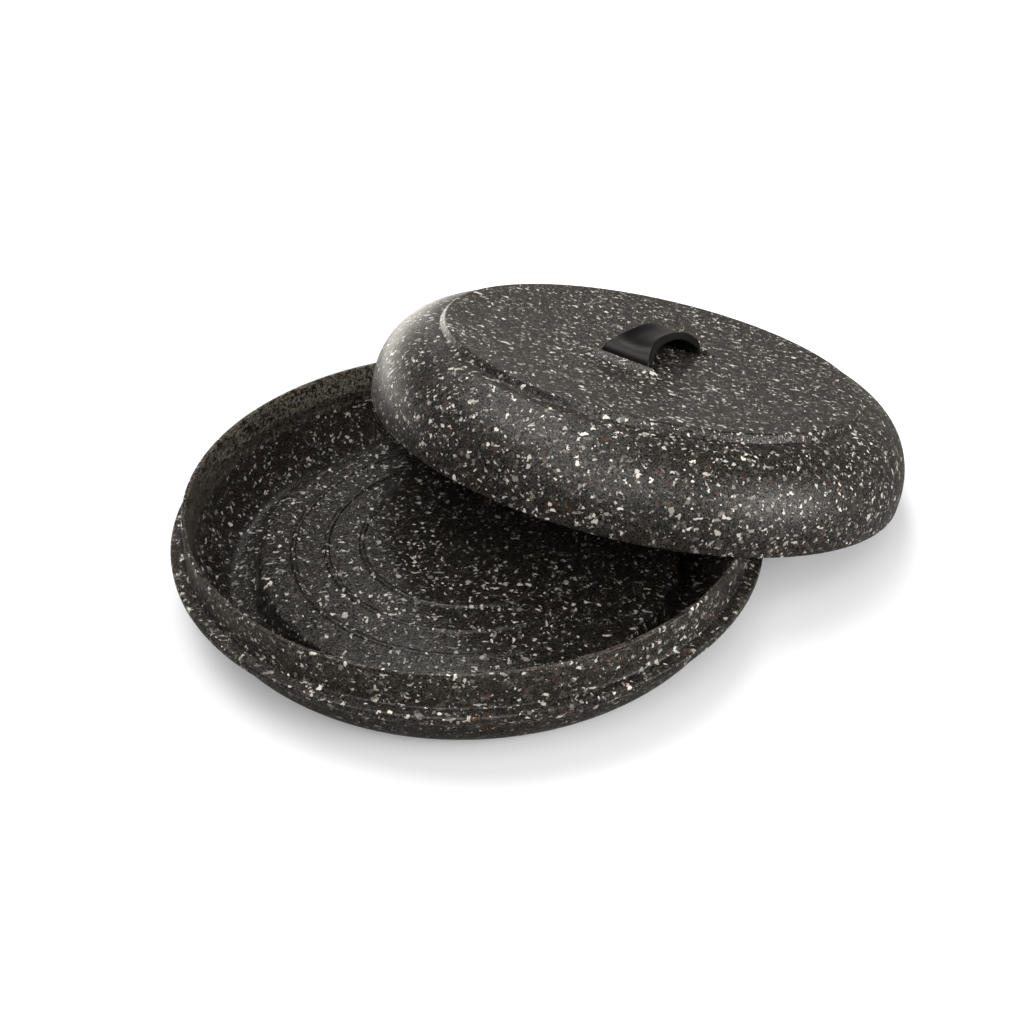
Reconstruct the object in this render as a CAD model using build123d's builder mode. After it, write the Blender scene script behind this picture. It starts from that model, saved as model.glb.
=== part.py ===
"""Tortilla warmer: a round dish with a ledge, a domed cover and a snap-in strap handle.

The dish stands on its foot ring at z = 0 with its axis on +Z. The lid is off: it leans on the rim of
the dish at two points, with the lowest point of its edge on the table. All sizes are millimetres.
"""

from build123d import *
from math import copysign, cos, hypot, radians, sin, tan
import os

# ---- driving dimensions: dish -----------------------------------------------------------------
rim_radius = 128.0  # outside of the upright wall, at its top
rim_wall = 2.0
wall_height = 15.1  # from the lid's seat up to the rim
wall_spread = 0.6  # how far the wall leans out on its way down to the root curve
root_reach = 1.5  # concave curve from the wall out to the ledge
root_height = 4.5

ledge_top = 31.4  # height of the lid's seat above the table
ledge_thickness = 3.9
ledge_round = 0.9
seat_width = 4.9  # from the step at the wall's root out to the dish's outermost edge
seat_step = 0.5

bowl_proud = 0.2  # how far the bowl, right under the ledge, stands out past the foot of the wall
bowl_wall = 2.6
bowl_root = 1.6  # fillet between bowl and ledge
bowl_curve = 19.6  # how far the bowl's side curves in on its way down to the foot
foot_width = 7.9  # flat ring that the dish stands on

floor_height = 14.3  # top of the raised floor
floor_wall = 2.6
floor_edge_round = 2.4
riser_spread = 2.6  # how far the floor's riser spreads on its way down to the moat
bead_insets = (15.8, 31.2, 47.5)  # middle of each bead, in from the floor's edge
bead_width = 3.0
bead_height = 0.8

# ---- driving dimensions: lid ------------------------------------------------------------------
lid_overhang = 1.0  # how far the lid's skirt stands out past the dish's ledge
lid_wall = 2.3
lid_edge_round = 0.8
lid_skirt = 4.6  # upright part of the skirt
shoulder_height = 39.1  # crown of the shoulder above the lid's edge
shoulder_width = 28.9  # from the skirt in to the crease where the step to the disc begins
step_height = 3.9  # from the crease up to the disc's edge
step_reach = 2.1
disc_sag = 3.8  # how much lower the middle of the disc is than its edge
disc_round = 1.4

# ---- driving dimensions: handle ---------------------------------------------------------------
strap_reach = 27.8  # from the handle's middle out to the middle of a leg
strap_rise = 10.6  # middle of the strap at the crown, above the feet
strap_squareness = 2.85  # exponent of the arch: 2 is an ellipse, more is squarer
strap_thickness = 2.8
strap_foot_width = 27.2
strap_waist = 17.0
strap_flare = 3.1  # exponent of the hourglass outline: more keeps the waist longer
strap_curl = 1.5  # how far the side edges turn up at the crown
tongue_width = 18.0
tongue_thickness = 2.0
tongue_root = 1.5  # how far a tongue is buried in its leg
barb_reach = 1.4
barb_height = 2.4

boss_width = 30.0  # straight part of the crest behind a foot
boss_end = 9.0  # ramp at each end of the crest
boss_rise = 2.1
boss_length = 20.0  # from the crest outwards to where it fades into the disc
boss_round = 0.9

# ---- driving dimensions: fits, and the way the lid leans --------------------------------------
running_gap = 0.3
rim_gap = 0.5  # straight up from the rim's crown to the sloping edge of the lid
lid_push = 110.0  # from the dish's axis to the middle of the lid's edge, seen from above
lean_heading = 41.2  # degrees from +X, the way the lid slopes down
handle_turn = 13.0  # degrees from that slope to the handle's long side

# ---- worked out: dish -------------------------------------------------------------------------
wall_foot = rim_radius + wall_spread
rim_inside = rim_radius - rim_wall
rim_height = ledge_top + wall_height
ledge_bottom = ledge_top - ledge_thickness
seat_floor = ledge_top - seat_step
seat_radius = wall_foot + root_reach
ledge_radius = seat_radius + seat_width
bowl_radius = wall_foot + bowl_proud
bowl_inside = bowl_radius - bowl_wall
foot_outer = bowl_radius - bowl_curve
moat_radius = foot_outer - foot_width
foot_inner = moat_radius - floor_wall
floor_radius = moat_radius - riser_spread

# ---- worked out: lid --------------------------------------------------------------------------
lid_radius = ledge_radius + lid_overhang
shoulder_radius = lid_radius - shoulder_width
disc_radius = shoulder_radius - step_reach
disc_height = shoulder_height + step_height


# ---- worked out: where the lid leans ----------------------------------------------------------
def lid_lean():
    """Slope of a lid whose edge is on the table at one point and on the dish's rim at two."""
    edge = lid_radius - lid_wall / 2
    rim = rim_radius - rim_wall / 2
    low, high = radians(5), radians(40)
    while high - low > 1e-7:
        lean = (low + high) / 2
        climb = lid_radius * sin(lean) + running_gap - rim_height - rim_gap
        if lid_push**2 + edge**2 + 2 * lid_push * climb / tan(lean) - climb**2 < rim**2:
            low = lean
        else:
            high = lean
    return low


lean = lid_lean()
heading = radians(lean_heading)
lid_centre = (lid_push * cos(heading), lid_push * sin(heading), lid_radius * sin(lean) + running_gap)
downhill = (cos(lean) * cos(heading), cos(lean) * sin(heading), -sin(lean))
lid_up = (sin(lean) * cos(heading), sin(lean) * sin(heading), cos(lean))
lid_plane = Plane(origin=lid_centre, x_dir=downhill, z_dir=lid_up)
lid_axis = Axis(lid_plane.origin, lid_plane.z_dir)
handle_plane = Plane(lid_plane.location * Rotation(0, 0, handle_turn))


def section_plane(frame):
    """The plane on a frame's own X and Z: sketch x runs outwards, sketch y runs up the axis."""
    return Plane(origin=frame.origin, x_dir=frame.x_dir, z_dir=-frame.y_dir)


def end_plane(frame):
    """The plane on a frame's own Y and Z: sketch x runs across the handle, sketch y runs up."""
    return Plane(origin=frame.origin, x_dir=frame.y_dir, z_dir=frame.x_dir)


def disc_top(radius):
    """Height of the disc's top over the lid's edge, at a distance from the lid's axis."""
    return disc_height - disc_sag * (1 - (radius / disc_radius) ** 2)


# ---- worked out: handle -----------------------------------------------------------------------
leg_outside = strap_reach + strap_thickness / 2
foot_level = disc_top(hypot(leg_outside, strap_foot_width / 2)) + running_gap
tongue_inside = strap_reach - tongue_thickness / 2
tongue_outside = strap_reach + tongue_thickness / 2
slot_inside = tongue_inside - barb_reach - running_gap
slot_outside = tongue_outside + running_gap
barb_outside = tongue_outside + barb_reach
barb_top = disc_top(slot_outside) - lid_wall - running_gap
boss_wall = leg_outside + running_gap
boss_foot = boss_wall + boss_length
boss_top = disc_top(boss_wall) + boss_rise
boss_base = disc_top(0) - lid_wall / 2

os.makedirs("parts", exist_ok=True)

# ---- dish -------------------------------------------------------------------------------------
with BuildPart() as base_dish:
    # outside: foot, bowl, ledge with its seat, upright wall
    with BuildSketch(Plane.XZ) as dish_outside:
        with BuildLine():
            EllipticalCenterArc(
                (foot_outer, ledge_bottom), bowl_radius - foot_outer, ledge_bottom, start_angle=-90, arc_size=90
            )
            Polyline(
                (bowl_radius, ledge_bottom),
                (ledge_radius, ledge_bottom),
                (ledge_radius, ledge_top),
                (seat_radius, ledge_top),
                (seat_radius, seat_floor),
            )
            EllipticalCenterArc(
                (seat_radius, seat_floor + root_height),
                seat_radius - wall_foot,
                root_height,
                start_angle=-90,
                arc_size=-90,
            )
            Polyline(
                (wall_foot, seat_floor + root_height),
                (rim_radius, rim_height),
                (0, rim_height),
                (0, 0),
                (foot_outer, 0),
            )
        make_face()
        fillet(dish_outside.vertices().group_by(Axis.X)[-1], ledge_round)
        fillet(dish_outside.vertices().sort_by_distance((bowl_radius, ledge_bottom))[0], bowl_root)
    revolve(axis=Axis.Z)

    # inside: wall, bowl, moat, riser and raised floor
    with BuildSketch(Plane.XZ) as dish_inside:
        with BuildLine():
            EllipticalCenterArc(
                (foot_outer, ledge_bottom),
                bowl_inside - foot_outer,
                ledge_bottom - floor_wall,
                start_angle=-90,
                arc_size=90,
            )
            Polyline(
                (bowl_inside, ledge_bottom),
                (rim_inside, rim_height),
                (0, rim_height),
                (0, floor_height),
                (floor_radius, floor_height),
                (moat_radius, floor_wall),
                (foot_outer, floor_wall),
            )
        make_face()
        fillet(dish_inside.vertices().sort_by_distance((floor_radius, floor_height))[0], floor_edge_round)
        fillet(dish_inside.vertices().sort_by_distance((moat_radius, floor_wall))[0], floor_edge_round)
    revolve(axis=Axis.Z, mode=Mode.SUBTRACT)

    # underside: hollow beneath the raised floor
    with BuildSketch(Plane.XZ):
        with BuildLine():
            Polyline(
                (0, 0),
                (foot_inner, 0),
                (floor_radius - floor_wall, floor_height - floor_wall),
                (0, floor_height - floor_wall),
                close=True,
            )
        make_face()
    revolve(axis=Axis.Z, mode=Mode.SUBTRACT)

    # beads that keep the stack off the floor
    with BuildSketch(Plane.XZ):
        for bead_inset in bead_insets:
            bead_radius = floor_radius - bead_inset
            inner, outer = bead_radius - bead_width / 2, bead_radius + bead_width / 2
            with BuildLine():
                ThreePointArc((inner, floor_height), (bead_radius, floor_height + bead_height), (outer, floor_height))
                Polyline(
                    (outer, floor_height),
                    (outer, floor_height - floor_wall / 2),
                    (inner, floor_height - floor_wall / 2),
                    (inner, floor_height),
                )
            make_face()
    revolve(axis=Axis.Z)

    rim_edges = base_dish.edges().filter_by(GeomType.CIRCLE).group_by(Axis.Z)[-1]
    fillet(rim_edges, rim_wall * 0.45)

base_dish.part.label = "base_dish"
export_step(base_dish.part, "parts/base_dish.step")


# ---- lid --------------------------------------------------------------------------------------
def lid_form(inset):
    """Half section of the lid's form, drawn inwards of its outside by inset."""
    skirt = lid_radius - inset
    crease = shoulder_radius - inset
    corner = disc_radius - inset
    crown = shoulder_height - inset
    disc_edge = disc_height - inset
    disc_arc_radius = (corner**2 + disc_sag**2) / (2 * disc_sag)
    with BuildSketch(section_plane(lid_plane)) as form:
        with BuildLine():
            Polyline((0, disc_edge - disc_sag), (0, 0), (skirt, 0), (skirt, lid_skirt))
            EllipticalCenterArc((crease, lid_skirt), skirt - crease, crown - lid_skirt, arc_size=90)
            Line((crease, crown), (corner, disc_edge))
            RadiusArc((corner, disc_edge), (0, disc_edge - disc_sag), disc_arc_radius)
        make_face()
        fillet(form.vertices().sort_by_distance((corner, disc_edge))[0], disc_round)
    return form.sketch


# one boss, in the handle's frame: a wall behind the strap's foot, swelling out of the disc and fading
with BuildPart() as boss:
    with BuildSketch(section_plane(handle_plane)) as swelling:
        with BuildLine():
            Polyline(
                (boss_foot, disc_top(boss_foot)),
                (boss_foot, boss_base),
                (boss_wall, boss_base),
                (boss_wall, boss_top - boss_round),
            )
            RadiusArc((boss_wall, boss_top - boss_round), (boss_wall + boss_round, boss_top), boss_round)
            Spline(
                (boss_wall + boss_round, boss_top),
                (boss_foot, disc_top(boss_foot)),
                tangents=[(1, 0), (1, 0)],
            )
        make_face()
    extrude(amount=boss_width / 2 + boss_end, both=True)
    with BuildSketch(end_plane(handle_plane)) as crest:
        with BuildLine():
            Polyline(
                (-boss_width / 2 - boss_end, boss_base),
                (boss_width / 2 + boss_end, boss_base),
                (boss_width / 2 + boss_end, boss_top - boss_rise),
                (boss_width / 2, boss_top),
                (-boss_width / 2, boss_top),
                (-boss_width / 2 - boss_end, boss_top - boss_rise),
                close=True,
            )
        make_face()
    extrude(amount=boss_foot, mode=Mode.INTERSECT)

with BuildPart() as lid:
    revolve(lid_form(0), axis=lid_axis)
    add(boss.part)
    add(mirror(boss.part, about=end_plane(handle_plane), mode=Mode.PRIVATE))
    revolve(lid_form(lid_wall), axis=lid_axis, mode=Mode.SUBTRACT)

    # slots for the strap's tongues, wide enough for the barbs to pass when the legs are squeezed
    with BuildSketch(handle_plane):
        for side in (-1, 1):
            with Locations((side * (slot_inside + slot_outside) / 2, 0)):
                Rectangle(slot_outside - slot_inside, tongue_width + 2 * running_gap)
    extrude(amount=boss_top, mode=Mode.SUBTRACT)

    edge_circles = lid.edges().filter_by(GeomType.CIRCLE).group_by(lid_axis)[0]
    fillet(edge_circles, lid_edge_round)

lid.part.label = "lid"
export_step(lid.part, "parts/lid.step")


# ---- handle -----------------------------------------------------------------------------------
def strap_section(turn):
    """Cross-section of the strap, square to its arch: a gutter with round sides.

    The arch is a squared half circle and turn runs along it, from 0 at one foot to 180 at the other.
    The strap is widest at its feet, narrowest at the crown, and its sides turn up towards the crown.
    """
    power = 2 / strap_squareness
    along = copysign(abs(cos(radians(turn))) ** power, cos(radians(turn)))
    up = abs(sin(radians(turn))) ** power
    lean_out = copysign(abs(along) ** (strap_squareness - 1), along) / strap_reach
    lean_up = up ** (strap_squareness - 1) / strap_rise
    half_width = (strap_waist + (strap_foot_width - strap_waist) * abs(along) ** strap_flare) / 2
    curl = strap_curl * (1 - along**2)
    half_wall = strap_thickness / 2
    flat = half_width - half_wall
    run = handle_plane.x_dir * lean_up - handle_plane.z_dir * lean_out
    middle = handle_plane.from_local_coords((along * strap_reach, 0, foot_level + up * strap_rise))
    with BuildSketch(Plane(origin=middle, x_dir=handle_plane.y_dir, z_dir=run)) as section:
        with BuildLine():
            Spline((-flat, curl + half_wall), (0, half_wall), (flat, curl + half_wall))
            ThreePointArc((flat, curl + half_wall), (half_width, curl), (flat, curl - half_wall))
            Spline((flat, curl - half_wall), (0, -half_wall), (-flat, curl - half_wall))
            ThreePointArc((-flat, curl - half_wall), (-half_width, curl), (-flat, curl + half_wall))
        make_face()
    return section.sketch


with BuildPart() as handle:
    loft([strap_section(turn) for turn in range(0, 181, 15)])

    # tongues that pass through the disc, each with a barb that hooks outwards beneath it
    with BuildSketch(section_plane(handle_plane)) as tongues:
        with BuildLine():
            Polyline(
                (tongue_inside, foot_level + tongue_root),
                (tongue_inside, barb_top - barb_height),
                (tongue_outside - barb_reach / 2, barb_top - barb_height),
                (barb_outside, barb_top - barb_height / 2),
                (barb_outside, barb_top),
                (tongue_outside, barb_top),
                (tongue_outside, foot_level + tongue_root),
                close=True,
            )
        make_face()
        mirror(about=Plane.YZ)
    extrude(amount=tongue_width / 2, both=True)

handle.part.label = "handle"
export_step(handle.part, "parts/handle.step")
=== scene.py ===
# %% [markdown]
# # A tortilla warmer in speckled resin
#
# The real object is two thin mouldings and one small strap: a round dish with a ledge, a domed lid
# that has been lifted off and leans on the dish's rim, and a black handle that snaps into the lid.
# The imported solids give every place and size. What is added here is what a solid can't hold: round
# edges that catch the light, a resin full of flakes, and a studio to look at it in.

# %% Load the frame
import math

import bmesh
import bpy
from mathutils import Matrix, Vector


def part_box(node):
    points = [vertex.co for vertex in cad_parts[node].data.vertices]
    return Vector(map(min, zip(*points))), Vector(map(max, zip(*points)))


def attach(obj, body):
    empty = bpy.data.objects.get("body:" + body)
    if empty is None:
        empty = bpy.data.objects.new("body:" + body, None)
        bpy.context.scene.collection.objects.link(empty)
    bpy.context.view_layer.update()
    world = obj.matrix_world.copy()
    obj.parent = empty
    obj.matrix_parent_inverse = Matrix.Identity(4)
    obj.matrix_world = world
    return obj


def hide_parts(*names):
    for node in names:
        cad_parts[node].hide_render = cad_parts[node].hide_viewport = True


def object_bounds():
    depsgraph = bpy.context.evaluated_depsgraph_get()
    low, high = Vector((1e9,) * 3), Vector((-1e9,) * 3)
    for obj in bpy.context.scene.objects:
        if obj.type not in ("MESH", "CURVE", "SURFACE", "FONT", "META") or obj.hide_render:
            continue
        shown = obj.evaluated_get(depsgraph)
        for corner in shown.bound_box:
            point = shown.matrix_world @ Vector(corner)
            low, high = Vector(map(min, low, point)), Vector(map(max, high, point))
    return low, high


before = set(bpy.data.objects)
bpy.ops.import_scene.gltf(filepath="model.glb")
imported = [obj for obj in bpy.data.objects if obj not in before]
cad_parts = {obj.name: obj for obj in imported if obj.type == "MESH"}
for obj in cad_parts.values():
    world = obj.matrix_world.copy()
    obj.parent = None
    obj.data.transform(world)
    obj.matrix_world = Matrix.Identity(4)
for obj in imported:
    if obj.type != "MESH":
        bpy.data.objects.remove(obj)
cad_box = [list(corner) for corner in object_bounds()]
mm = 0.001

# %% [markdown]
# ## Camera
#
# The camera comes first, because every later choice of size and detail is judged through it. It
# stands in front of the dish and looks down at about 35 degrees, so that the dish's floor, the
# lid's skirt and the lid's top are all in view. It is level, and its lens has no shift.

# %% Camera
camera_height = 0.3241
camera_back = 0.41872
camera_right = 0.01982
camera_pitch = 35.21  # degrees below the horizon
camera_lens = 38.60  # mm, on a sensor 36 mm wide


def make_camera():
    """A level camera that looks along +Y and down."""
    data = bpy.data.cameras.new("studio_camera")
    data.lens = camera_lens
    camera = bpy.data.objects.new("studio_camera", data)
    camera.location = (camera_right, -camera_back, camera_height)
    camera.rotation_euler = (math.radians(90 - camera_pitch), 0, 0)
    bpy.context.scene.collection.objects.link(camera)
    bpy.context.scene.camera = camera
    return camera


camera = make_camera()
print("camera at", tuple(round(c, 3) for c in camera.location))

# %% [markdown]
# ## Short ways to build node trees
#
# Materials and Geometry Nodes trees are both made of nodes, inputs and links. One helper adds a
# node of either kind: what it is set to, and what goes into it, which may be a plain value or
# the output of another node. The others do arithmetic, keep a value between two limits, mix two
# colours, take a place apart into x, y and z, and start a material, so that a finish below reads
# as a list of what it does.


# %% Node helpers
def add(tree, kind, values=(), **settings):
    """Adds a node. settings are the node's own; values go to its inputs, by name or number."""
    node = tree.nodes.new(kind)
    for name, setting in settings.items():
        setattr(node, name, setting)
    for name, value in dict(values).items():
        if isinstance(value, bpy.types.NodeSocket):
            tree.links.new(value, node.inputs[name])
        else:
            node.inputs[name].default_value = value
    return node


def maths(tree, operation, first, second=0.0, third=0.0):
    """The result of one sum, as an output to link onwards."""
    values = {0: first, 1: second, 2: third}
    return add(tree, "ShaderNodeMath", values, operation=operation).outputs[0]


def times(tree, first, second):
    """Two values multiplied."""
    return maths(tree, "MULTIPLY", first, second)


def line(tree, value, slope, start):
    """A straight line: the value times slope, plus start."""
    return maths(tree, "MULTIPLY_ADD", value, slope, start)


def between(tree, value, low, high):
    """A value kept between two limits."""
    return maths(tree, "MINIMUM", maths(tree, "MAXIMUM", value, low), high)


def blend(tree, factor, first, second):
    """Mixes two colours by factor."""
    values = {0: factor, 6: first, 7: second}
    return add(tree, "ShaderNodeMix", values, data_type="RGBA").outputs[2]


def split(tree, vector):
    """The x, y and z of a vector, as three outputs."""
    return add(tree, "ShaderNodeSeparateXYZ", {0: vector}).outputs


def distance_out(tree, spot):
    """How far a spot is from the Z axis, seen from above."""
    return maths(tree, "SQRT", line(tree, spot[0], spot[0], times(tree, spot[1], spot[1])))


def noise(tree, where, scale, detail):
    """Cloudy noise; scale is how many waves it has to a metre."""
    return add(tree, "ShaderNodeTexNoise", {"Vector": where, "Scale": scale, "Detail": detail}).outputs


def new_material(name):
    """An empty material, its node tree and the place on the object, in metres, that it colours."""
    material = bpy.data.materials.new(name)
    material.use_nodes = True
    tree = material.node_tree
    tree.nodes.clear()
    return material, tree, add(tree, "ShaderNodeTexCoord").outputs["Object"]


# %% [markdown]
# ## Speckled resin
#
# The dish and the lid are moulded from dark resin filled with chips of light plastic. The chips go
# all through the wall, and the mould's face cuts them, so they show as flat, sharp cornered flakes
# of very mixed sizes. A picture could be wrapped round each piece, but it would stretch on the
# curves and show a seam. A Voronoi texture does what the filler does: it fills space with cells, a
# few of them are picked at random to be chips, and the surface cuts through them. Layers with
# cells of different sizes give large flakes, slivers and dust, some with cells squeezed flat. Two
# more layers are grey and reddish chips that lie just below the face, and one is specks of black.
# The place is bent a little by noise first, so that the chips lose their straight sides.

# %% Chips
wobble_scale, wobble_detail = 420.0, 2.0
chip_bend = 2.7 * mm


def bent_place(tree, where):
    """The place, moved about by a fine noise, so that a chip's sides are ragged."""
    wobble = noise(tree, where, wobble_scale, wobble_detail)
    centred = add(
        tree, "ShaderNodeVectorMath", {0: wobble["Color"], 1: (0.5, 0.5, 0.5)}, operation="SUBTRACT"
    )
    return add(
        tree,
        "ShaderNodeVectorMath",
        {0: centred.outputs[0], 1: (chip_bend, chip_bend, chip_bend), 2: where},
        operation="MULTIPLY_ADD",
    ).outputs[0]


def chips(tree, where, cell, share, stretch=(1, 1, 1), turn=(0, 0, 0), seed=0.0):
    """Chips of one size: 1 where there is one, and a random number for each chip."""
    placed = add(
        tree,
        "ShaderNodeMapping",
        {"Vector": where, "Scale": stretch, "Rotation": turn, "Location": (seed, seed, seed)},
    )
    cells = add(tree, "ShaderNodeTexVoronoi", {"Vector": placed.outputs[0], "Scale": 1 / cell})
    picks = add(tree, "ShaderNodeSeparateColor", {"Color": cells.outputs["Color"]})
    chosen = maths(tree, "LESS_THAN", picks.outputs[0], share)
    return chosen, picks.outputs[1]


print("chips are bent by up to mm:", chip_bend / mm / 2)

# %% [markdown]
# Each kind of flake has a size of cell, the share of cells that are flakes, and a squeeze and a
# turn that make slivers. A flake takes a random strength, and most are dim: the random number is
# raised to a power, as few chips lie right at the face. Where two kinds overlap, the stronger one
# shows.

# %% Flakes
even = (1, 1, 1)
square_on = (0, 0, 0)
flake_kinds = (
    (2.1 * mm, 0.009, even, square_on),
    (1.5 * mm, 0.032, even, (0.4, 0.2, 0.9)),
    (1.1 * mm, 0.033, even, square_on),
    (0.9 * mm, 0.013, (0.3, 1, 1), (0.5, 0.9, 0.2)),
    (0.9 * mm, 0.013, (1, 0.3, 1), (0.9, 0.1, 0.7)),
    (0.6 * mm, 0.024, even, square_on),
)
flake_depth = 2.2  # a higher power leaves fewer bright flakes
flake_gain, flake_least = 1.1, 0.08
seed_step = 0.11


def flakes(tree, where):
    """How light the flakes make the resin at each place, from 0 to 1."""
    light = 0.0
    for number, (cell, share, stretch, turn) in enumerate(flake_kinds):
        chosen, shade = chips(tree, where, cell, share, stretch, turn, seed=seed_step * number)
        near_face = maths(tree, "POWER", shade, flake_depth)
        strength = times(tree, chosen, line(tree, near_face, flake_gain, flake_least))
        light = maths(tree, "MAXIMUM", light, strength)
    return maths(tree, "MINIMUM", light, 1.0)


print("kinds of flake:", len(flake_kinds), "share of light cells:", sum(kind[1] for kind in flake_kinds))

# %% [markdown]
# The inside of the dish isn't quite like the rest. Its mould face is smoother, so its reflections
# are sharper but fainter. It lies in shade, and that shade is painted into its colour: the resin
# is darkened there and its flakes are dimmed. The thin upright wall lets light through, and that
# light is painted too: a painted glow of lighter greige on its inner face, mottled by more black
# specks, and its flakes are dimmed further, as painted shade of flakes seen against the light. Two
# masks say where that is, by the distance from the dish's axis and the height. The first also
# takes in the lower bowl and the underside, which lie in shade and get the same painted shade, and
# the lid hardly comes into either, as it stands higher or further out.

# %% Inside of the dish
inner_radius = 127.2 * mm
inner_top = 46.8 * mm
inner_wall_foot = 26.0 * mm


def inside_masks(tree, where):
    """Two masks: all of the dish within its wall, and only the upright wall's inner face."""
    spot = split(tree, where)
    near = maths(tree, "LESS_THAN", distance_out(tree, spot), inner_radius)
    in_dish = times(tree, near, maths(tree, "LESS_THAN", spot[2], inner_top))
    on_wall = times(tree, in_dish, maths(tree, "GREATER_THAN", spot[2], inner_wall_foot))
    return in_dish, on_wall


print("inner face of the wall, mm:", inner_wall_foot / mm, "to", inner_top / mm)

# %% [markdown]
# The colour is laid on like coats, from the bottom up: a cloudy base, the sunken chips, the painted
# shade inside the dish and the painted glow on its wall, the black specks, the dust and at last the
# flakes. Each coat is one colour, mixed in by the mask that says where it is. A strength under 1
# leaves some of what lies below it.

# %% Colours of the resin
resin_dark = (0.006, 0.0055, 0.0045, 1)
resin_pale = (0.019, 0.0155, 0.0120, 1)
sunk_grey = (0.30, 0.28, 0.26, 1)
sunk_red = (0.10, 0.045, 0.03, 1)
# Painted shade: a darker colour laid over the inside of the dish, the lower bowl and the underside.
inside_painted_shade = (0.004, 0.0035, 0.003, 1)
# Painted glow: a lighter greige for the wall's inner face, standing in for light through the wall.
wall_painted_glow = (0.110, 0.092, 0.075, 1)
speck_black = (0.005, 0.0045, 0.004, 1)
dust_grey = (0.50, 0.46, 0.42, 1)
flake_white = (0.74, 0.72, 0.68, 1)
cloud_scale, cloud_detail = 95.0, 3.0
sunk_cell, sunk_share, sunk_strength = 1.9 * mm, 0.20, 0.16
red_cell, red_share, red_strength = 1.8 * mm, 0.03, 0.35
# How strongly the painted shade inside the dish and the painted glow on its wall are laid on.
inside_painted_shade_strength, wall_painted_glow_strength = 0.6, 0.50
# The wall's inner face gets extra black specks, painted shade of flakes seen against its light.
speck_cell, speck_share, wall_painted_dark_specks = 1.0 * mm, 0.10, 0.34
dust_cell, dust_share, dust_strength = 0.42 * mm, 0.16, 0.10


def resin_base(tree, where, bent, in_dish, on_wall):
    """Colour below the flakes, painted shade and glow included, and a mask of the black specks."""
    cloud = noise(tree, where, cloud_scale, cloud_detail)["Fac"]
    colour = blend(tree, cloud, resin_dark, resin_pale)
    sunk, depth = chips(tree, bent, sunk_cell, sunk_share, seed=0.31)
    colour = blend(tree, times(tree, sunk, times(tree, depth, sunk_strength)), colour, sunk_grey)
    red = chips(tree, bent, red_cell, red_share, seed=0.57)[0]
    colour = blend(tree, times(tree, red, red_strength), colour, sunk_red)
    # Painted shade: the inside of the dish, with the lower bowl and the underside, is darkened by place.
    colour = blend(tree, times(tree, in_dish, inside_painted_shade_strength), colour, inside_painted_shade)
    # Painted glow: the wall's inner face is lightened, standing in for light that passes through it.
    colour = blend(tree, times(tree, on_wall, wall_painted_glow_strength), colour, wall_painted_glow)
    # Painted shade: more black specks on the wall, for flakes seen dark against light through it.
    share = line(tree, on_wall, wall_painted_dark_specks, speck_share)
    black = chips(tree, bent, speck_cell, share, seed=0.83)[0]
    colour = blend(tree, black, colour, speck_black)
    dust, shade = chips(tree, where, dust_cell, dust_share, seed=0.71)
    dusted = times(tree, dust, times(tree, shade, dust_strength))
    return blend(tree, dusted, colour, dust_grey), black


print("smallest grain of colour, mm:", dust_cell / mm)

# %% [markdown]
# The face has a fine grain. It tips the surface a little, and it also varies the roughness and how
# much each place mirrors, from almost nothing to more than plain plastic, so that a lamp's
# reflection breaks up into a glitter, as it does on the real mouldings. Last comes the glow.
# Subsurface scattering lets the bare resin pass some light, and flakes and black specks stop it.
# At half weight the shading stays crisp; at full weight the resin turns to wax.

# %% Speckled resin
# How far the flakes are dimmed as painted shade, inside the dish and on its upright wall.
flakes_painted_shade_inside, flakes_painted_shade_on_wall = 0.30, 0.50
grain_scale, grain_detail = 1300.0, 3.0
grain_strength, grain_lift = 0.50, 0.14 * mm
rough_by_grain, rough_least, rough_less_inside = 0.20, 0.31, 0.10
gloss_by_grain, gloss_start, gloss_least, gloss_less_inside = 2.6, -0.92, 0.05, 0.3
glow_weight, glow_reach, glow_scale = 0.5, (20.0, 19.4, 18.4), 1.0 * mm
solid_from = 0.05  # a flake lighter than this stops the glow


def speckled_resin():
    """Dark resin with light flakes in it."""
    material, tree, where = new_material("speckled_resin")
    bent = bent_place(tree, where)
    in_dish, on_wall = inside_masks(tree, where)
    colour, black = resin_base(tree, where, bent, in_dish, on_wall)
    # Painted shade on the flakes: dimmed inside the dish, where shade falls, and more on its wall.
    shown = line(tree, on_wall, -flakes_painted_shade_on_wall, line(tree, in_dish, -flakes_painted_shade_inside, 1.0))
    light = times(tree, flakes(tree, bent), shown)
    colour = blend(tree, light, colour, flake_white)

    grain = noise(tree, where, grain_scale, grain_detail)["Fac"]
    rough = line(tree, in_dish, -rough_less_inside, line(tree, grain, rough_by_grain, rough_least))
    gloss = maths(tree, "MAXIMUM", line(tree, grain, gloss_by_grain, gloss_start), gloss_least)
    gloss = times(tree, gloss, line(tree, in_dish, -gloss_less_inside, 1.0))
    raised = {"Height": grain, "Strength": grain_strength, "Distance": grain_lift}
    bump = add(tree, "ShaderNodeBump", raised)
    solid = maths(tree, "MAXIMUM", maths(tree, "GREATER_THAN", light, solid_from), black)
    shader = add(
        tree,
        "ShaderNodeBsdfPrincipled",
        {
            "Base Color": colour,
            "Roughness": rough,
            "Normal": bump.outputs[0],
            "Specular IOR Level": gloss,
            "Subsurface Weight": line(tree, solid, -glow_weight, glow_weight),
            "Subsurface Radius": glow_reach,
            "Subsurface Scale": glow_scale,
        },
    )
    add(tree, "ShaderNodeOutputMaterial", {"Surface": shader.outputs[0]})
    return material


resin = speckled_resin()
print("resin nodes:", len(resin.node_tree.nodes))

# %% [markdown]
# ## Black satin
#
# The handle is a plain black moulding, with no flakes in it. A fine, even grain gives it a soft
# sheen, and a slow cloud varies the colour and the roughness, so that it doesn't look painted. It
# mirrors little, or the softboxes would turn its broad flat crown grey.

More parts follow.
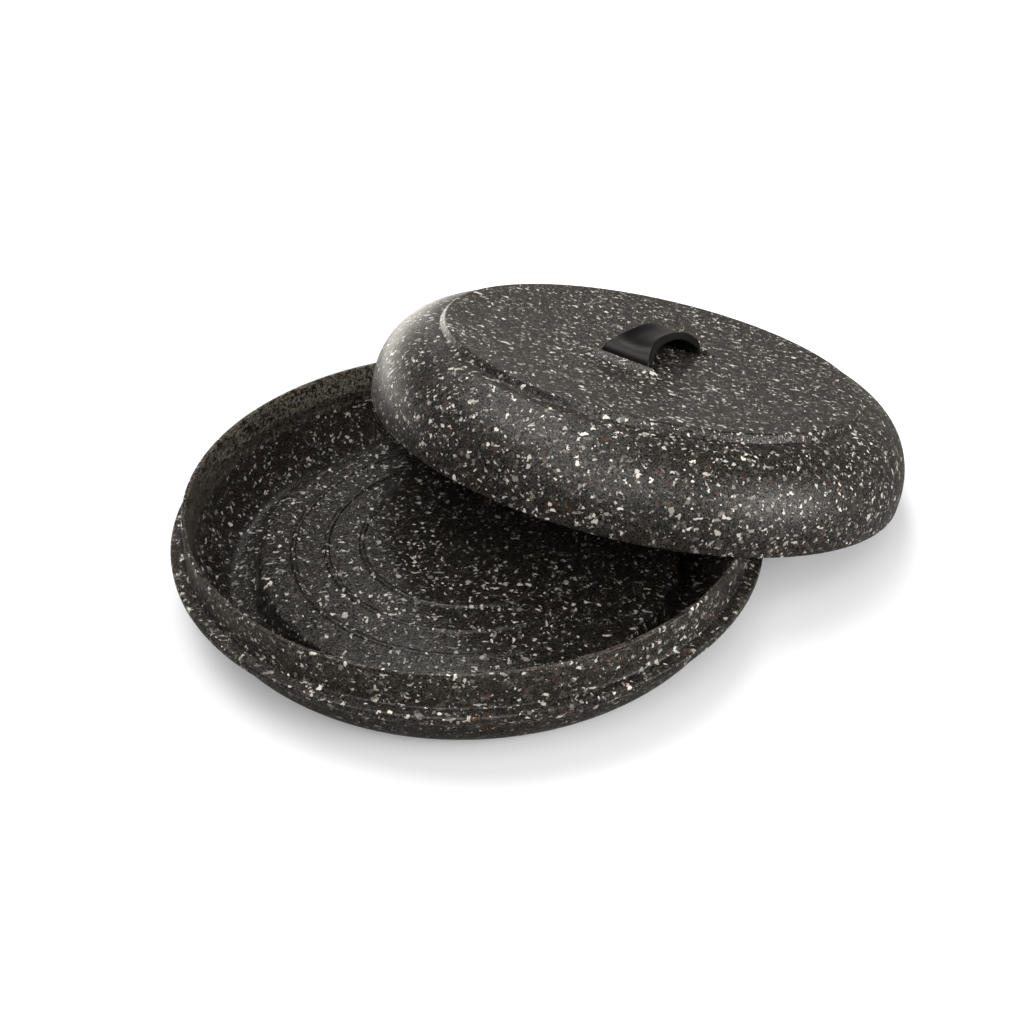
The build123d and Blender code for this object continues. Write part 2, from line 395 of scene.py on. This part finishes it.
# %% Black satin
satin_dark = (0.0030, 0.0030, 0.0028, 1)
satin_pale = (0.0050, 0.0049, 0.0045, 1)
satin_gloss = 0.18
satin_rough_by_cloud, satin_rough_least = 0.10, 0.32
satin_grain_scale, satin_cloud_scale = 3200.0, 120.0
satin_grain_strength, satin_grain_lift = 0.2, 0.06 * mm


def black_satin():
    """Near black plastic with a soft sheen."""
    material, tree, where = new_material("black_satin")
    grain = noise(tree, where, satin_grain_scale, 2.0)["Fac"]
    cloud = noise(tree, where, satin_cloud_scale, 3.0)["Fac"]
    raised = {"Height": grain, "Strength": satin_grain_strength, "Distance": satin_grain_lift}
    bump = add(tree, "ShaderNodeBump", raised)
    shader = add(
        tree,
        "ShaderNodeBsdfPrincipled",
        {
            "Base Color": blend(tree, cloud, satin_dark, satin_pale),
            "Roughness": line(tree, cloud, satin_rough_by_cloud, satin_rough_least),
            "Normal": bump.outputs[0],
            "Specular IOR Level": satin_gloss,
        },
    )
    add(tree, "ShaderNodeOutputMaterial", {"Surface": shader.outputs[0]})
    return material


satin = black_satin()
print("satin nodes:", len(satin.node_tree.nodes))

# %% [markdown]
# ## Sizes of the dish, the lid and the handle
#
# These are the sizes that the solids were designed with, in millimetres. Only the bosses, and the
# strap's crown, turned up sides and lips, differ a little, because light shows more of their shape
# than a solid needs. The dish is measured from its own axis and the table. The lid is measured
# from its own axis and its edge, and is then leant on the dish: its edge touches the table at one
# point and the dish's rim at two. The slope that does this is found by halving an interval,
# because the sum has no neat answer.

# %% Sizes
rim_radius, rim_height, rim_wall = 128.0, 46.5, 2.0
ledge_radius, ledge_top, ledge_bottom = 135.0, 31.4, 27.5
seat_radius, seat_floor = 130.1, 30.9
wall_foot, root_height = 128.6, 4.5
bowl_radius, bowl_wall = 128.8, 2.6
foot_outer, moat_radius, floor_radius = 109.2, 101.3, 98.7
floor_height, floor_wall = 14.3, 2.6
bead_radii, bead_width, bead_height = (51.2, 67.5, 82.9), 3.0, 0.8

lid_radius, lid_wall, lid_skirt = 136.0, 2.3, 4.6
shoulder_radius, shoulder_height = 107.1, 39.1
disc_radius, disc_height, disc_sag = 105.0, 43.0, 3.8

strap_reach, strap_rise, strap_squareness = 27.8, 9.7, 2.85
strap_thickness, strap_curl, strap_flare = 2.8, 2.4, 3.1
strap_foot_width, strap_waist = 27.2, 17.0
lip_depth, lip_spread = 1.2, 1.8
tongue_width, tongue_thickness, tongue_root = 18.0, 2.0, 1.5
barb_reach, barb_height = 1.4, 2.4
boss_width, boss_end, boss_rise, boss_length, boss_round = 30.0, 7.0, 3.4, 9.0, 0.7
running_gap, rim_gap = 0.3, 0.5

lid_push = 110.0  # from the dish's axis to the middle of the lid's edge, seen from above
lean_heading = math.radians(41.2)  # from +X, the way the lid slopes down
handle_turn = math.radians(13.0)  # from that slope to the handle's long side


def disc_top(radius):
    """Height of the disc's top over the lid's edge, in millimetres."""
    return disc_height - disc_sag * (1 - (radius / disc_radius) ** 2)


# %% [markdown]
# The handle, its slots and the bosses are fitted to each other, so their places come from the
# strap's own sizes and one running gap: a slot is as wide as its tongue and a gap on each side,
# and the barb hooks a gap below the disc's wall.

# %% Places that follow from the sizes
leg_outside = strap_reach + strap_thickness / 2
foot_level = disc_top(math.hypot(leg_outside, strap_foot_width / 2)) + running_gap
tongue_inside = strap_reach - tongue_thickness / 2
tongue_outside = strap_reach + tongue_thickness / 2
slot_outside = tongue_outside + running_gap
slot_inside = tongue_inside - barb_reach - running_gap
slot_width = tongue_width + 2 * running_gap
barb_top = disc_top(slot_outside) - lid_wall - running_gap
boss_wall = leg_outside + running_gap
boss_base = disc_top(0) - lid_wall / 2


def lid_lean():
    """Slope of a lid whose edge is on the table at one point and on the dish's rim at two."""
    edge = lid_radius - lid_wall / 2
    rim = rim_radius - rim_wall / 2
    low, high = math.radians(5), math.radians(40)
    while high - low > 1e-7:
        lean = (low + high) / 2
        climb = lid_radius * math.sin(lean) + running_gap - rim_height - rim_gap
        reach = lid_push**2 + edge**2 + 2 * lid_push * climb / math.tan(lean) - climb**2
        low, high = (lean, high) if reach < rim**2 else (low, lean)
    return low


def lid_placement():
    """From the lid's own place, in millimetres, to where it leans, in metres."""
    lean = lid_lean()
    east, north = lid_push * math.cos(lean_heading), lid_push * math.sin(lean_heading)
    centre = Vector((east, north, lid_radius * math.sin(lean) + running_gap))
    turned = Matrix.Rotation(lean_heading, 4, "Z") @ Matrix.Rotation(lean, 4, "Y")
    return Matrix.Scale(mm, 4) @ Matrix.Translation(centre) @ turned


lid_place = lid_placement()
handle_place = lid_place @ Matrix.Rotation(handle_turn, 4, "Z")
print("the lid leans", round(math.degrees(lid_lean()), 3), "degrees")

# %% [markdown]
# ## Outlines with rounded corners
#
# The dish and the lid are round, so half of a cut through each says all of its shape. An outline
# is a list of corners, each with the radius that its mould gives it. Rounding a corner puts an arc
# there, and a point just outside each end of the arc. Those two keep the flats flat: smooth
# shading blends the slope between points, and without them the whole flat would look bent.

# %% Rounded corners
guard_run = 1.35  # how far out a guarding point stands, where 1 is the end of the arc


def rounded(corners, steps=6):
    """Points of an outline whose corners are (radius, height) or (radius, height, round)."""
    points = []
    for number, (r, z, *size) in enumerate(corners):
        here = Vector((r, z))
        if not size:
            points.append(here)
            continue
        back = (Vector(corners[number - 1][:2]) - here).normalized()
        ahead = (Vector(corners[number + 1][:2]) - here).normalized()
        half = back.angle(ahead) / 2
        run = size[0] / math.tan(half)
        middle = here + (back + ahead).normalized() * size[0] / math.sin(half)
        start, end = here + back * run - middle, here + ahead * run - middle
        turn = start.angle_signed(end)
        points.append(here + back * run * guard_run)
        for step in range(steps + 1):
            points.append(middle + Matrix.Rotation(-turn * step / steps, 2) @ start)
        points.append(here + ahead * run * guard_run)
    return points


def arc(centre_r, centre_z, reach, rise, start, end, steps):
    """Points of an ellipse's arc between two angles, in degrees, without its two ends."""
    angles = (math.radians(start + (end - start) * step / steps) for step in range(1, steps))
    return [(centre_r + reach * math.cos(a), centre_z + rise * math.sin(a)) for a in angles]


print("a rounded corner has", len(rounded([(0, 0), (9, 0, 1), (9, 9)])) - 2, "points")

# %% [markdown]
# The dish's cut is walked once round: out over the floor with its beads, down into the moat, up
# the curved bowl and the upright wall, over the rim, down outside to the groove that the lid's edge
# drops into, round the ledge, and back in under the bowl and the foot. Long flats get a point every
# few millimetres, so that the faces of the turned mesh stay well shaped. Where an arc meets a
# rounded corner, the points of the arc that would crowd it are left out.

# %% Outline of the dish
bead_ease, rim_round, seat_round, ledge_round = 0.5, 0.85, 0.15, 0.9
bowl_root_round, moat_round, foot_round, hollow_round = 1.6, 2.4, 0.6, 0.8
wall_draft_inside, wall_draft_outside = 0.05, 0.15  # out, for each step up or down the wall
wall_step_inside, wall_step_outside = 3.2, 2.8


def bead(radius):
    """Corners of one low bead on the floor, and of the flat just outside it."""
    half = bead_width / 2
    shares = (-0.6, -0.3, 0, 0.3, 0.6)
    crown = [(radius + s * half, floor_height + bead_height * (1 - s * s)) for s in shares]
    corners = [(radius - half, floor_height, bead_ease)] + crown + [(radius + half, floor_height, bead_ease)]
    return corners + [(radius + step, floor_height) for step in (4, 7, 10)]


def dish_outline():
    """The dish's cut, from the middle of its floor round to the middle of its underside."""
    bowl_inside = bowl_radius - bowl_wall
    corners = [(0, floor_height)]
    corners += [(r, floor_height) for r in range(4, int(bead_radii[0] - bead_width), 4)]
    for radius in bead_radii:
        corners += bead(radius)
    corners += [(floor_radius, floor_height, moat_round), (moat_radius, floor_wall, moat_round)]
    corners += [(foot_outer, floor_wall)]
    corners += arc(foot_outer, ledge_bottom, bowl_inside - foot_outer, ledge_bottom - floor_wall, -90, 0, 24)
    corners += [(bowl_inside, ledge_bottom)]
    for step in range(1, 6):
        corners += [(bowl_inside - wall_draft_inside * step, ledge_bottom + wall_step_inside * step)]
    corners += [(rim_radius - rim_wall, rim_height, rim_round), (rim_radius, rim_height, rim_round)]
    for step in range(1, 4):
        corners += [(rim_radius + wall_draft_outside * step, rim_height - wall_step_outside * step)]
    root_reach, root_top = wall_foot - seat_radius, seat_floor + root_height
    corners += [(wall_foot, root_top)]
    corners += arc(seat_radius, root_top, root_reach, root_height, 0, -90, 8)[:-1]
    corners += [(seat_radius, seat_floor, seat_round), (seat_radius, ledge_top, seat_round)]
    corners += [(ledge_radius, ledge_top, ledge_round), (ledge_radius, ledge_bottom, ledge_round)]
    corners += [(bowl_radius, ledge_bottom, bowl_root_round)]
    corners += arc(foot_outer, ledge_bottom, bowl_radius - foot_outer, ledge_bottom, 0, -90, 28)[2:]
    corners += [(foot_outer, 0), (moat_radius - floor_wall, 0, foot_round)]
    hollow_top = floor_height - floor_wall
    corners += [(floor_radius - floor_wall, hollow_top, hollow_round)]
    corners += [(r, hollow_top) for r in range(90, 0, -10)] + [(0, hollow_top)]
    return rounded(corners)


dish_points = dish_outline()
print("points of the dish's outline:", len(dish_points))

# %% [markdown]
# The lid has the same wall nearly everywhere, so one function gives both faces: the outside with no
# inset, and the inside with an inset of one wall. Its cut is the first, and the second backwards.

# %% Outline of the lid
disc_edge_round, crease_round, lid_edge_round = 1.4, 0.7, 0.8


def lid_side(inset):
    """One face of the lid from the middle of its disc down to its edge, inset from the outside."""
    crease, skirt = shoulder_radius - inset, lid_radius - inset
    corners = [(r, disc_top(r) - inset) for r in range(0, int(disc_radius - inset - 3), 3)]
    corners += [(disc_radius - inset, disc_height - inset, disc_edge_round)]
    corners += [(crease, shoulder_height - inset, crease_round)]
    corners += arc(crease, lid_skirt, skirt - crease, shoulder_height - inset - lid_skirt, 90, 0, 40)[1:]
    return corners + [(skirt, lid_skirt), (skirt, lid_skirt * 0.6), (skirt, 0, lid_edge_round)]


def lid_outline():
    """The lid's cut, from the middle of its top down to the edge and back up inside."""
    return rounded(lid_side(0) + lid_side(lid_wall)[::-1])


lid_points = lid_outline()
print("points of the lid's outline:", len(lid_points))

# %% [markdown]
# ## A lathe
#
# Both mouldings follow one rule: an outline turned about an axis. A Screw modifier could do it, but
# Geometry Nodes state the rule where it can be read and changed. A grid has one column for each
# step round the axis and one row for each point of the outline. Every grid point looks up its
# outline point, by its row, and is put at that radius and height, at its column's angle. Merging
# by distance then closes the seam and the poles.

# %% Lathe
merge_distance = 0.004  # mm


def lathe_tree():
    """Geometry Nodes that turn an outline about the Z axis."""
    tree = bpy.data.node_groups.new("lathe", "GeometryNodeTree")
    for name, kind in (("Outline", "Geometry"), ("Steps Round", "Int"), ("Finish", "Material")):
        tree.interface.new_socket(name, in_out="INPUT", socket_type="NodeSocket" + kind)
    tree.interface.new_socket("Turned", in_out="OUTPUT", socket_type="NodeSocketGeometry")
    given = add(tree, "NodeGroupInput").outputs
    count = add(tree, "GeometryNodeAttributeDomainSize", {0: given["Outline"]}, component="MESH")
    rows = count.outputs[0]
    columns = maths(tree, "ADD", given["Steps Round"], 1.0)
    sheet = {"Size X": 1.0, "Size Y": 1.0, "Vertices X": columns, "Vertices Y": rows}
    grid = add(tree, "GeometryNodeMeshGrid", sheet)
    position = add(tree, "GeometryNodeInputPosition").outputs[0]
    place = split(tree, position)
    up_the_sheet = maths(tree, "ADD", place[1], 0.5)
    row = maths(tree, "ROUND", times(tree, up_the_sheet, maths(tree, "SUBTRACT", rows, 1.0)))
    looked_up = add(
        tree,
        "GeometryNodeSampleIndex",
        {"Geometry": given["Outline"], "Value": position, "Index": row},
        data_type="FLOAT_VECTOR",
        domain="POINT",
    )
    section = split(tree, looked_up.outputs[0])
    angle = times(tree, maths(tree, "ADD", place[0], 0.5), math.tau)
    along = times(tree, section[0], maths(tree, "COSINE", angle))
    across = times(tree, section[0], maths(tree, "SINE", angle))
    spot = add(tree, "ShaderNodeCombineXYZ", {0: along, 1: across, 2: section[2]}).outputs[0]
    turned = add(tree, "GeometryNodeSetPosition", {"Geometry": grid.outputs[0], "Position": spot})
    welding = {"Geometry": turned.outputs[0], "Distance": merge_distance}
    closed = add(tree, "GeometryNodeMergeByDistance", welding)
    smooth = add(tree, "GeometryNodeSetShadeSmooth", {"Geometry": closed.outputs[0]})
    real = add(tree, "GeometryNodeRealizeInstances", {"Geometry": smooth.outputs[0]})
    coating = {"Geometry": real.outputs[0], "Material": given["Finish"]}
    coated = add(tree, "GeometryNodeSetMaterial", coating)
    add(tree, "NodeGroupOutput", {0: coated.outputs[0]})
    return tree


lathe = lathe_tree()
print("lathe nodes:", len(lathe.nodes))

# %% [markdown]
# A modifier holds the tree on a blank that is only the outline. Its inputs are set by the sockets'
# identifiers. The evaluated result becomes a plain mesh, and the blank is thrown away, because
# what follows, and whoever takes the piece into another program, wants plain meshes.

# %% Turned pieces
steps_round = 288


def placed_object(name, data):
    """An object that holds a mesh or a lamp, in the scene."""
    thing = bpy.data.objects.new(name, data)
    bpy.context.scene.collection.objects.link(thing)
    return thing


def evaluated_mesh(thing):
    """A plain mesh of an object as its modifiers leave it."""
    ready = thing.evaluated_get(bpy.context.evaluated_depsgraph_get())
    return bpy.data.meshes.new_from_object(ready)


def turned(name, outline, finish):
    """A piece turned on the lathe, as a plain mesh, still in millimetres at its own axis."""
    edges = [(n, n + 1) for n in range(len(outline) - 1)]
    mesh = bpy.data.meshes.new(name + "_outline")
    mesh.from_pydata([(p.x, 0, p.y) for p in outline], edges, [])
    blank = placed_object(name + "_outline", mesh)
    modifier = blank.modifiers.new("lathe", "NODES")
    modifier.node_group = lathe
    sockets = {s.name: s.identifier for s in lathe.interface.items_tree if s.in_out == "INPUT"}
    modifier[sockets["Steps Round"]] = steps_round
    modifier[sockets["Finish"]] = finish
    result = evaluated_mesh(blank)
    result.name = name
    bpy.data.objects.remove(blank)
    return placed_object(name, result)


def finished(piece, place, body, node):
    """Puts a piece's place into its mesh, and hands it to the frame in place of its solid."""
    piece.data.transform(place)
    piece.data.update()
    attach(piece, body)
    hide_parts(node)
    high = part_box(node)[1]
    past = [max(vertex.co[i] for vertex in piece.data.vertices) - high[i] for i in range(3)]
    triangles = sum(len(face.vertices) - 2 for face in piece.data.polygons)
    print(piece.name, "triangles", triangles, "past its solid by mm", [round(p / mm, 2) for p in past])


# %% [markdown]
# ## Dish
#
# The dish is one turned piece. Its floor is raised above the table and has three low beads that
# keep a stack of tortillas off it, a moat runs round the floor, and a ledge outside takes the lid.

# %% Dish
dish = turned("dish_shell", dish_points, resin)
finished(dish, Matrix.Scale(mm, 4), "dish", "base_dish")

# %% [markdown]
# ## Lid
#
# The lid is turned too. Its two bosses are swellings of the disc: each is a patch that starts at a
# straight wall behind one of the strap's feet and fades to nothing further out. They could be
# pushed up out of the disc's own mesh, but the rings of the lathe don't follow a straight wall. So
# the patches are joined on, and the slots for the handle's tongues are cut, with exact Booleans.
# These need closed meshes that cross each other cleanly, so each patch goes down into the middle
# of the lid's wall, and its top starts a hair below the disc's.

# %% Height of a boss
boss_sink = 0.03
boss_fade_power = 1.5  # more than 1 makes the slope steep at first and then drawn out


def ease(amount):
    """From 0 to 1, starting and ending level."""
    amount = min(max(amount, 0), 1)
    return amount * amount * (3 - 2 * amount)


def boss_height(u, v):
    """Height of a boss over the lid's edge; u runs outwards along the handle, v across it."""
    corner = max(boss_round - (u - boss_wall), 0)
    gone = min(max(u - boss_wall - boss_round, 0) / (boss_length - boss_round), 1)
    ends = ease(1 - (abs(v) - boss_width / 2) / boss_end)
    swell = boss_rise * (1 - gone) ** boss_fade_power * ends
    rounding = math.sqrt(boss_round**2 - corner**2) - boss_round
    return disc_top(math.hypot(u, v)) - boss_sink + swell + rounding


crest = boss_wall + boss_round
print("a boss rises mm over the disc:", round(boss_height(crest, 0) - disc_top(crest), 2))

# %% [markdown]
# Boss, slot, strap and tongue are all made point by point with bmesh, and all end in the same way:
# the faces are shaded smooth or flat, and the shape becomes an object with a finish.


# %% Blocks and Booleans
def made(name, shape, finish, smooth=True):
    """Turns a bmesh into an object with a finish."""
    for face in shape.faces:
        face.smooth = smooth
    mesh = bpy.data.meshes.new(name)
    shape.to_mesh(mesh)
    shape.free()
    mesh.materials.append(finish)
    return placed_object(name, mesh)


def block(name, rows, columns, top, bottom, finish):
    """A closed block over a grid of places, with a top that may swell and a flat bottom."""
    shape = bmesh.new()
    grid = [[shape.verts.new((u, v, top(u, v))) for v in columns] for u in rows]
    for here, after in zip(grid, grid[1:]):
        for n in range(len(here) - 1):
            shape.faces.new((here[n], after[n], after[n + 1], here[n + 1]))
    near_side, far_side = [row[0] for row in grid], [row[-1] for row in grid[-2::-1]]
    loop = near_side + grid[-1][1:] + far_side + grid[0][-2:0:-1]
    under = [shape.verts.new((vert.co.x, vert.co.y, bottom)) for vert in loop]
    for n in range(len(loop)):
        shape.faces.new((loop[n - 1], under[n - 1], under[n], loop[n]))
    shape.faces.new(under[::-1])
    return made(name, shape, finish)


def combined(piece, tools, sharp_angle):
    """Joins on or cuts away the tools, in turn, and marks the edges that stay sharp."""
    for tool, operation in tools:
        modifier = piece.modifiers.new(tool.name, "BOOLEAN")
        modifier.operation, modifier.object, modifier.solver = operation, tool, "EXACT"
    result = evaluated_mesh(piece)
    result.name = piece.name
    piece.modifiers.clear()
    piece.data = result
    for tool, _ in tools:
        bpy.data.objects.remove(tool)
    result.set_sharp_from_angle(angle=math.radians(sharp_angle))


# %% [markdown]
# A boss needs rows close together where its edge is round, and wider ones down the slope. The slot
# is a plain box that runs well past the disc on both sides. Each pair of tools is turned to the
# handle's direction, once for each foot.

# %% Lid
boss_column_gap, boss_columns_each_side, boss_slope_rows = 0.75, 32, 20
slot_cut_bottom, slot_cut_top = 30, 50
lid_sharp_angle = 35


def boss_and_slot(side):
    """The boss and the slot at one of the strap's feet, and what each does to the lid."""
    slope = (boss_length - boss_round) / boss_slope_rows
    rows = [boss_wall + boss_round * (1 - math.cos(math.radians(a))) for a in range(0, 90, 15)]
    rows += [boss_wall + boss_round + step * slope for step in range(boss_slope_rows + 1)]
    reach = boss_columns_each_side
    columns = [v * boss_column_gap for v in range(-reach, reach + 1)]
    boss = block("boss", rows, columns, boss_height, boss_base, resin)
    across, along = (-slot_width / 2, slot_width / 2), (slot_inside, slot_outside)
    slot = block("slot", along, across, lambda u, v: slot_cut_top, slot_cut_bottom, resin)
    for tool in (boss, slot):
        tool.data.transform(Matrix.Rotation(handle_turn + math.radians(side), 4, "Z"))
    return [(boss, "UNION"), (slot, "DIFFERENCE")]


lid = turned("lid_shell", lid_points, resin)
combined(lid, boss_and_slot(0) + boss_and_slot(180), lid_sharp_angle)
finished(lid, lid_place, "cover", "lid")

# %% [markdown]
# ## Handle
#
# The strap is one section swept over a squared arch. A curve with a bevel could sweep one section,
# but here the section changes all the time: it is wide at the feet and narrow at the crown, and
# its sides turn up towards the crown, with a lip along each edge. So each station along the arch
# works out its own section. Every station gets the same number of points, so neighbours are joined
# by plain rows of faces.

# %% Section of the strap
edge_round, lip_round, lip_run = 0.9, 0.7, 1.6
section_steps = 8


def half_section(along):
    """Half of the strap's section, where along is 0 at the crown and 1 or -1 at a foot."""
    half_width = (strap_waist + (strap_foot_width - strap_waist) * abs(along) ** strap_flare) / 2
    curl, half_wall = strap_curl * (1 - along**2) ** 1.5, strap_thickness / 2
    deep, spread = lip_depth * (1 + along**2) * (1 - along**10), lip_spread * (1 - along**6)
    side, lip = half_width - lip_spread / 3 * (1 - along**6), half_width - half_wall
    bottom, under = curl - half_wall - deep, side + spread - lip_run
    shares = [n / section_steps for n in range(section_steps + 1)]
    half = [(lip * n, curl * n**3 + half_wall) for n in shares[:-1]]
    half += [(side, curl + half_wall, edge_round), (side + spread, bottom, lip_round)]
    half += [(under * n, -half_wall + (bottom + half_wall) * n**4) for n in shares[:0:-1]]
    return rounded(half)


def station(turn):
    """Points round the strap where its arch stands at one angle, in the handle's frame."""
    c, s = math.cos(math.radians(turn)), math.sin(math.radians(turn))
    reach = (abs(c) ** strap_squareness + abs(s) ** strap_squareness) ** (-1 / strap_squareness)
    along, up = reach * c, reach * s
    lean_out = math.copysign(abs(along) ** (strap_squareness - 1), along) / strap_reach
    lean_up = abs(up) ** (strap_squareness - 1) / strap_rise
    outward = Vector((lean_out, 0, lean_up)).normalized()
    middle = Vector((along * strap_reach, 0, foot_level + up * strap_rise))
    half = half_section(along)
    section = half + [Vector((0, -strap_thickness / 2))] + [Vector((-p.x, p.y)) for p in half[:0:-1]]
    return [middle + Vector((0, p.x, 0)) + outward * p.y for p in section]


crown, foot = station(90), station(0)
print("points round the strap:", len(crown), "at the crown and", len(foot), "at a foot")

# %% [markdown]
# Under each foot a tongue goes down through its slot and ends in a barb. Seen from the side it is
# seven corners; those are drawn twice, a tongue's width apart, and closed. The two tongues are
# then joined to the strap, so that the handle is one moulding, as the real one is.

# %% Handle
station_step = 2  # degrees along the arch
handle_sharp_angle = 40


def strap(name, finish):
    """The whole strap, closed at its feet."""
    shape = bmesh.new()
    turns = range(0, 181, station_step)
    rings = [[shape.verts.new(point) for point in station(turn)] for turn in turns]
    for ring, after in zip(rings, rings[1:]):
        for n in range(len(ring)):
            shape.faces.new((ring[n - 1], ring[n], after[n], after[n - 1]))
    shape.faces.new(rings[0][::-1])
    shape.faces.new(rings[-1])
    bmesh.ops.recalc_face_normals(shape, faces=shape.faces)
    return made(name, shape, finish)


def tongue(name, side, finish):
    """A tongue that goes through its slot, with a barb that hooks outwards under the disc."""
    low, top = barb_top - barb_height, foot_level + tongue_root
    hooked = tongue_outside + barb_reach
    outline = [(tongue_inside, top), (tongue_inside, low), (tongue_outside - barb_reach / 2, low)]
    outline += [(hooked, barb_top - barb_height / 2), (hooked, barb_top)]
    outline += [(tongue_outside, barb_top), (tongue_outside, top)]
    shape = bmesh.new()
    sides = (-tongue_width / 2, tongue_width / 2)
    ends = [[shape.verts.new((side * u, v, z)) for u, z in outline] for v in sides]
    for n in range(len(outline)):
        shape.faces.new((ends[0][n - 1], ends[0][n], ends[1][n], ends[1][n - 1]))
    for end in ends:
        shape.faces.new(end)
    bmesh.ops.recalc_face_normals(shape, faces=shape.faces)
    return made(name, shape, finish, smooth=False)


handle = strap("handle_strap", satin)
combined(handle, [(tongue("tongue", side, satin), "UNION") for side in (-1, 1)], handle_sharp_angle)
finished(handle, handle_place, "cover", "handle")

# %% [markdown]
# ## Studio floor
#
# The backdrop is plain white, but a really white floor and sky would flood dark resin with light
# and wash it out. The Light Path node tells a ray from the camera from all others. To the camera
# the floor is white, except for soft shade close to the object, which fades out with the distance.
# To every other ray it is a dim grey, with one bright warm patch far back on the left. A lamp that
# stands low there would burn a hot spot into the lid, but the shoulder of the lid mirrors the
# patch as a wide pale sheen.

# %% Studio floor
white = (1, 1, 1, 1)
floor_half_size, floor_drop = 4.0, 0.1 * mm
paper_seen, paper_unseen = (0.90, 0.93, 0.98, 1), (0.24, 0.24, 0.24, 1)
clear_slope, clear_start, clear_least = 3.2, -0.62, 0.10  # the white, by metres from the middle
patch_strength, patch_tint = 9.0, (1.0, 0.97, 0.89, 1)
patch_slope_back, patch_start_back = 3.0, -1.1
patch_slope_left, patch_least_left = -5.0, 0.03


def floor_light(tree, seen, where):
    """How strongly the floor glows: white for the camera, and a patch behind for the rest."""
    spot = split(tree, where)
    far = between(tree, line(tree, spot[1], patch_slope_back, patch_start_back), 0.0, 1.0)
    left = between(tree, line(tree, spot[0], patch_slope_left, 0.0), patch_least_left, 1.0)
    away = distance_out(tree, spot)
    clear = between(tree, line(tree, away, clear_slope, clear_start), clear_least, 1.0)
    patch = times(tree, times(tree, far, left), patch_strength)
    return line(tree, seen, clear, times(tree, maths(tree, "SUBTRACT", 1.0, seen), patch))


def studio_white():
    """Paper that is white to the camera and dim to the object."""
    material, tree, where = new_material("studio_white")
    seen = add(tree, "ShaderNodeLightPath").outputs["Is Camera Ray"]
    paper = add(tree, "ShaderNodeBsdfDiffuse", {"Color": blend(tree, seen, paper_unseen, paper_seen)})
    glow = {"Color": blend(tree, seen, patch_tint, white), "Strength": floor_light(tree, seen, where)}
    lift = add(tree, "ShaderNodeEmission", glow)
    both = add(tree, "ShaderNodeAddShader", {0: paper.outputs[0], 1: lift.outputs[0]})
    add(tree, "ShaderNodeOutputMaterial", {"Surface": both.outputs[0]})
    return material


def make_floor():
    """A wide floor just under the dish."""
    shape = bmesh.new()
    bmesh.ops.create_grid(shape, x_segments=1, y_segments=1, size=floor_half_size)
    floor = made("studio_floor", shape, studio_white(), smooth=False)
    floor.location.z = cad_box[0][2] - floor_drop
    return floor


floor = make_floor()
print("floor at", round(floor.location.z / mm, 3), "mm")

# %% [markdown]
# ## Studio air
#
# The world follows the same idea. The camera sees white. To the object the air is dim all round,
# so that the dark resin keeps its depth, and brighter towards the back near the horizon, which
# draws the far edges out of the dark.

# %% Studio air
air_all_round, air_behind = 0.10, 0.55
air_fall = -2.4  # how fast the light at the back fades with height
air_tint = (1.0, 0.95, 0.88, 1)


def make_world():
    """White where the camera sees it; to the object, dim, but bright low down behind."""
    world = bpy.data.worlds.new("studio_air")
    world.use_nodes = True
    tree = world.node_tree
    tree.nodes.clear()
    seen = add(tree, "ShaderNodeLightPath").outputs["Is Camera Ray"]
    way = split(tree, add(tree, "ShaderNodeTexCoord").outputs["Generated"])
    low_down = maths(tree, "MAXIMUM", line(tree, way[2], air_fall, 1.0), 0.0)
    backdrop = times(tree, maths(tree, "MAXIMUM", way[1], 0.0), low_down)
    strength = maths(tree, "MAXIMUM", line(tree, backdrop, air_behind, air_all_round), seen)
    glow = {"Color": blend(tree, seen, air_tint, white), "Strength": strength}
    air = add(tree, "ShaderNodeBackground", glow)
    add(tree, "ShaderNodeOutputWorld", {"Surface": air.outputs[0]})
    bpy.context.scene.world = world


make_world()
print("world:", bpy.context.scene.world.name)

# %% [markdown]
# ## Softboxes
#
# Five square lamps light the object, none of them seen by the camera. The large one in front and
# the one overhead show the form, the one on the right lights that side of the lid, the one high
# behind adds a sheen to faces that lean back, and a small weak one behind on the left adds a last
# glint. Their light is a little warm. The Standard view keeps the colours as they are set, where
# a filmic view would grey the white.

# %% Softboxes
softbox_tint = (1.0, 0.97, 0.92)
object_middle = (0.03, 0, 0.03)
softboxes = (  # name, place and target in metres, size of a side in metres, power in watts
    ("softbox_front", (-0.10, -0.90, 1.05), object_middle, 1.1, 12.5),
    ("softbox_top", (-0.34, 0.12, 1.20), object_middle, 0.7, 8.5),
    ("softbox_back", (0.00, 0.84, 1.13), (0.05, 0.05, 0.05), 0.35, 3.2),
    ("softbox_back_left", (-0.22, 1.10, 0.82), (-0.05, 0, 0.03), 0.20, 0.22),
    ("softbox_right", (1.10, -0.55, 0.45), (0.1, 0, 0.05), 0.7, 11.0),
)


def make_softbox(name, place, target, size, power):
    """A square area lamp that faces a target."""
    data = bpy.data.lights.new(name, "AREA")
    data.size = size
    data.energy = power
    data.color = softbox_tint
    lamp = placed_object(name, data)
    lamp.location = place
    lamp.visible_camera = False
    aim = Vector(target) - Vector(place)
    lamp.rotation_euler = aim.to_track_quat("-Z", "Y").to_euler()


for softbox in softboxes:
    make_softbox(*softbox)
bpy.context.scene.view_settings.view_transform = "Standard"
print("softboxes:", len(softboxes))

# %% [markdown]
# ## Sizes, and the end
#
# The box round the solids is printed. Each piece already rides on its body, and the solids that it
# replaces are hidden.

# %% Sizes, and the end
print("CAD box:", cad_box)
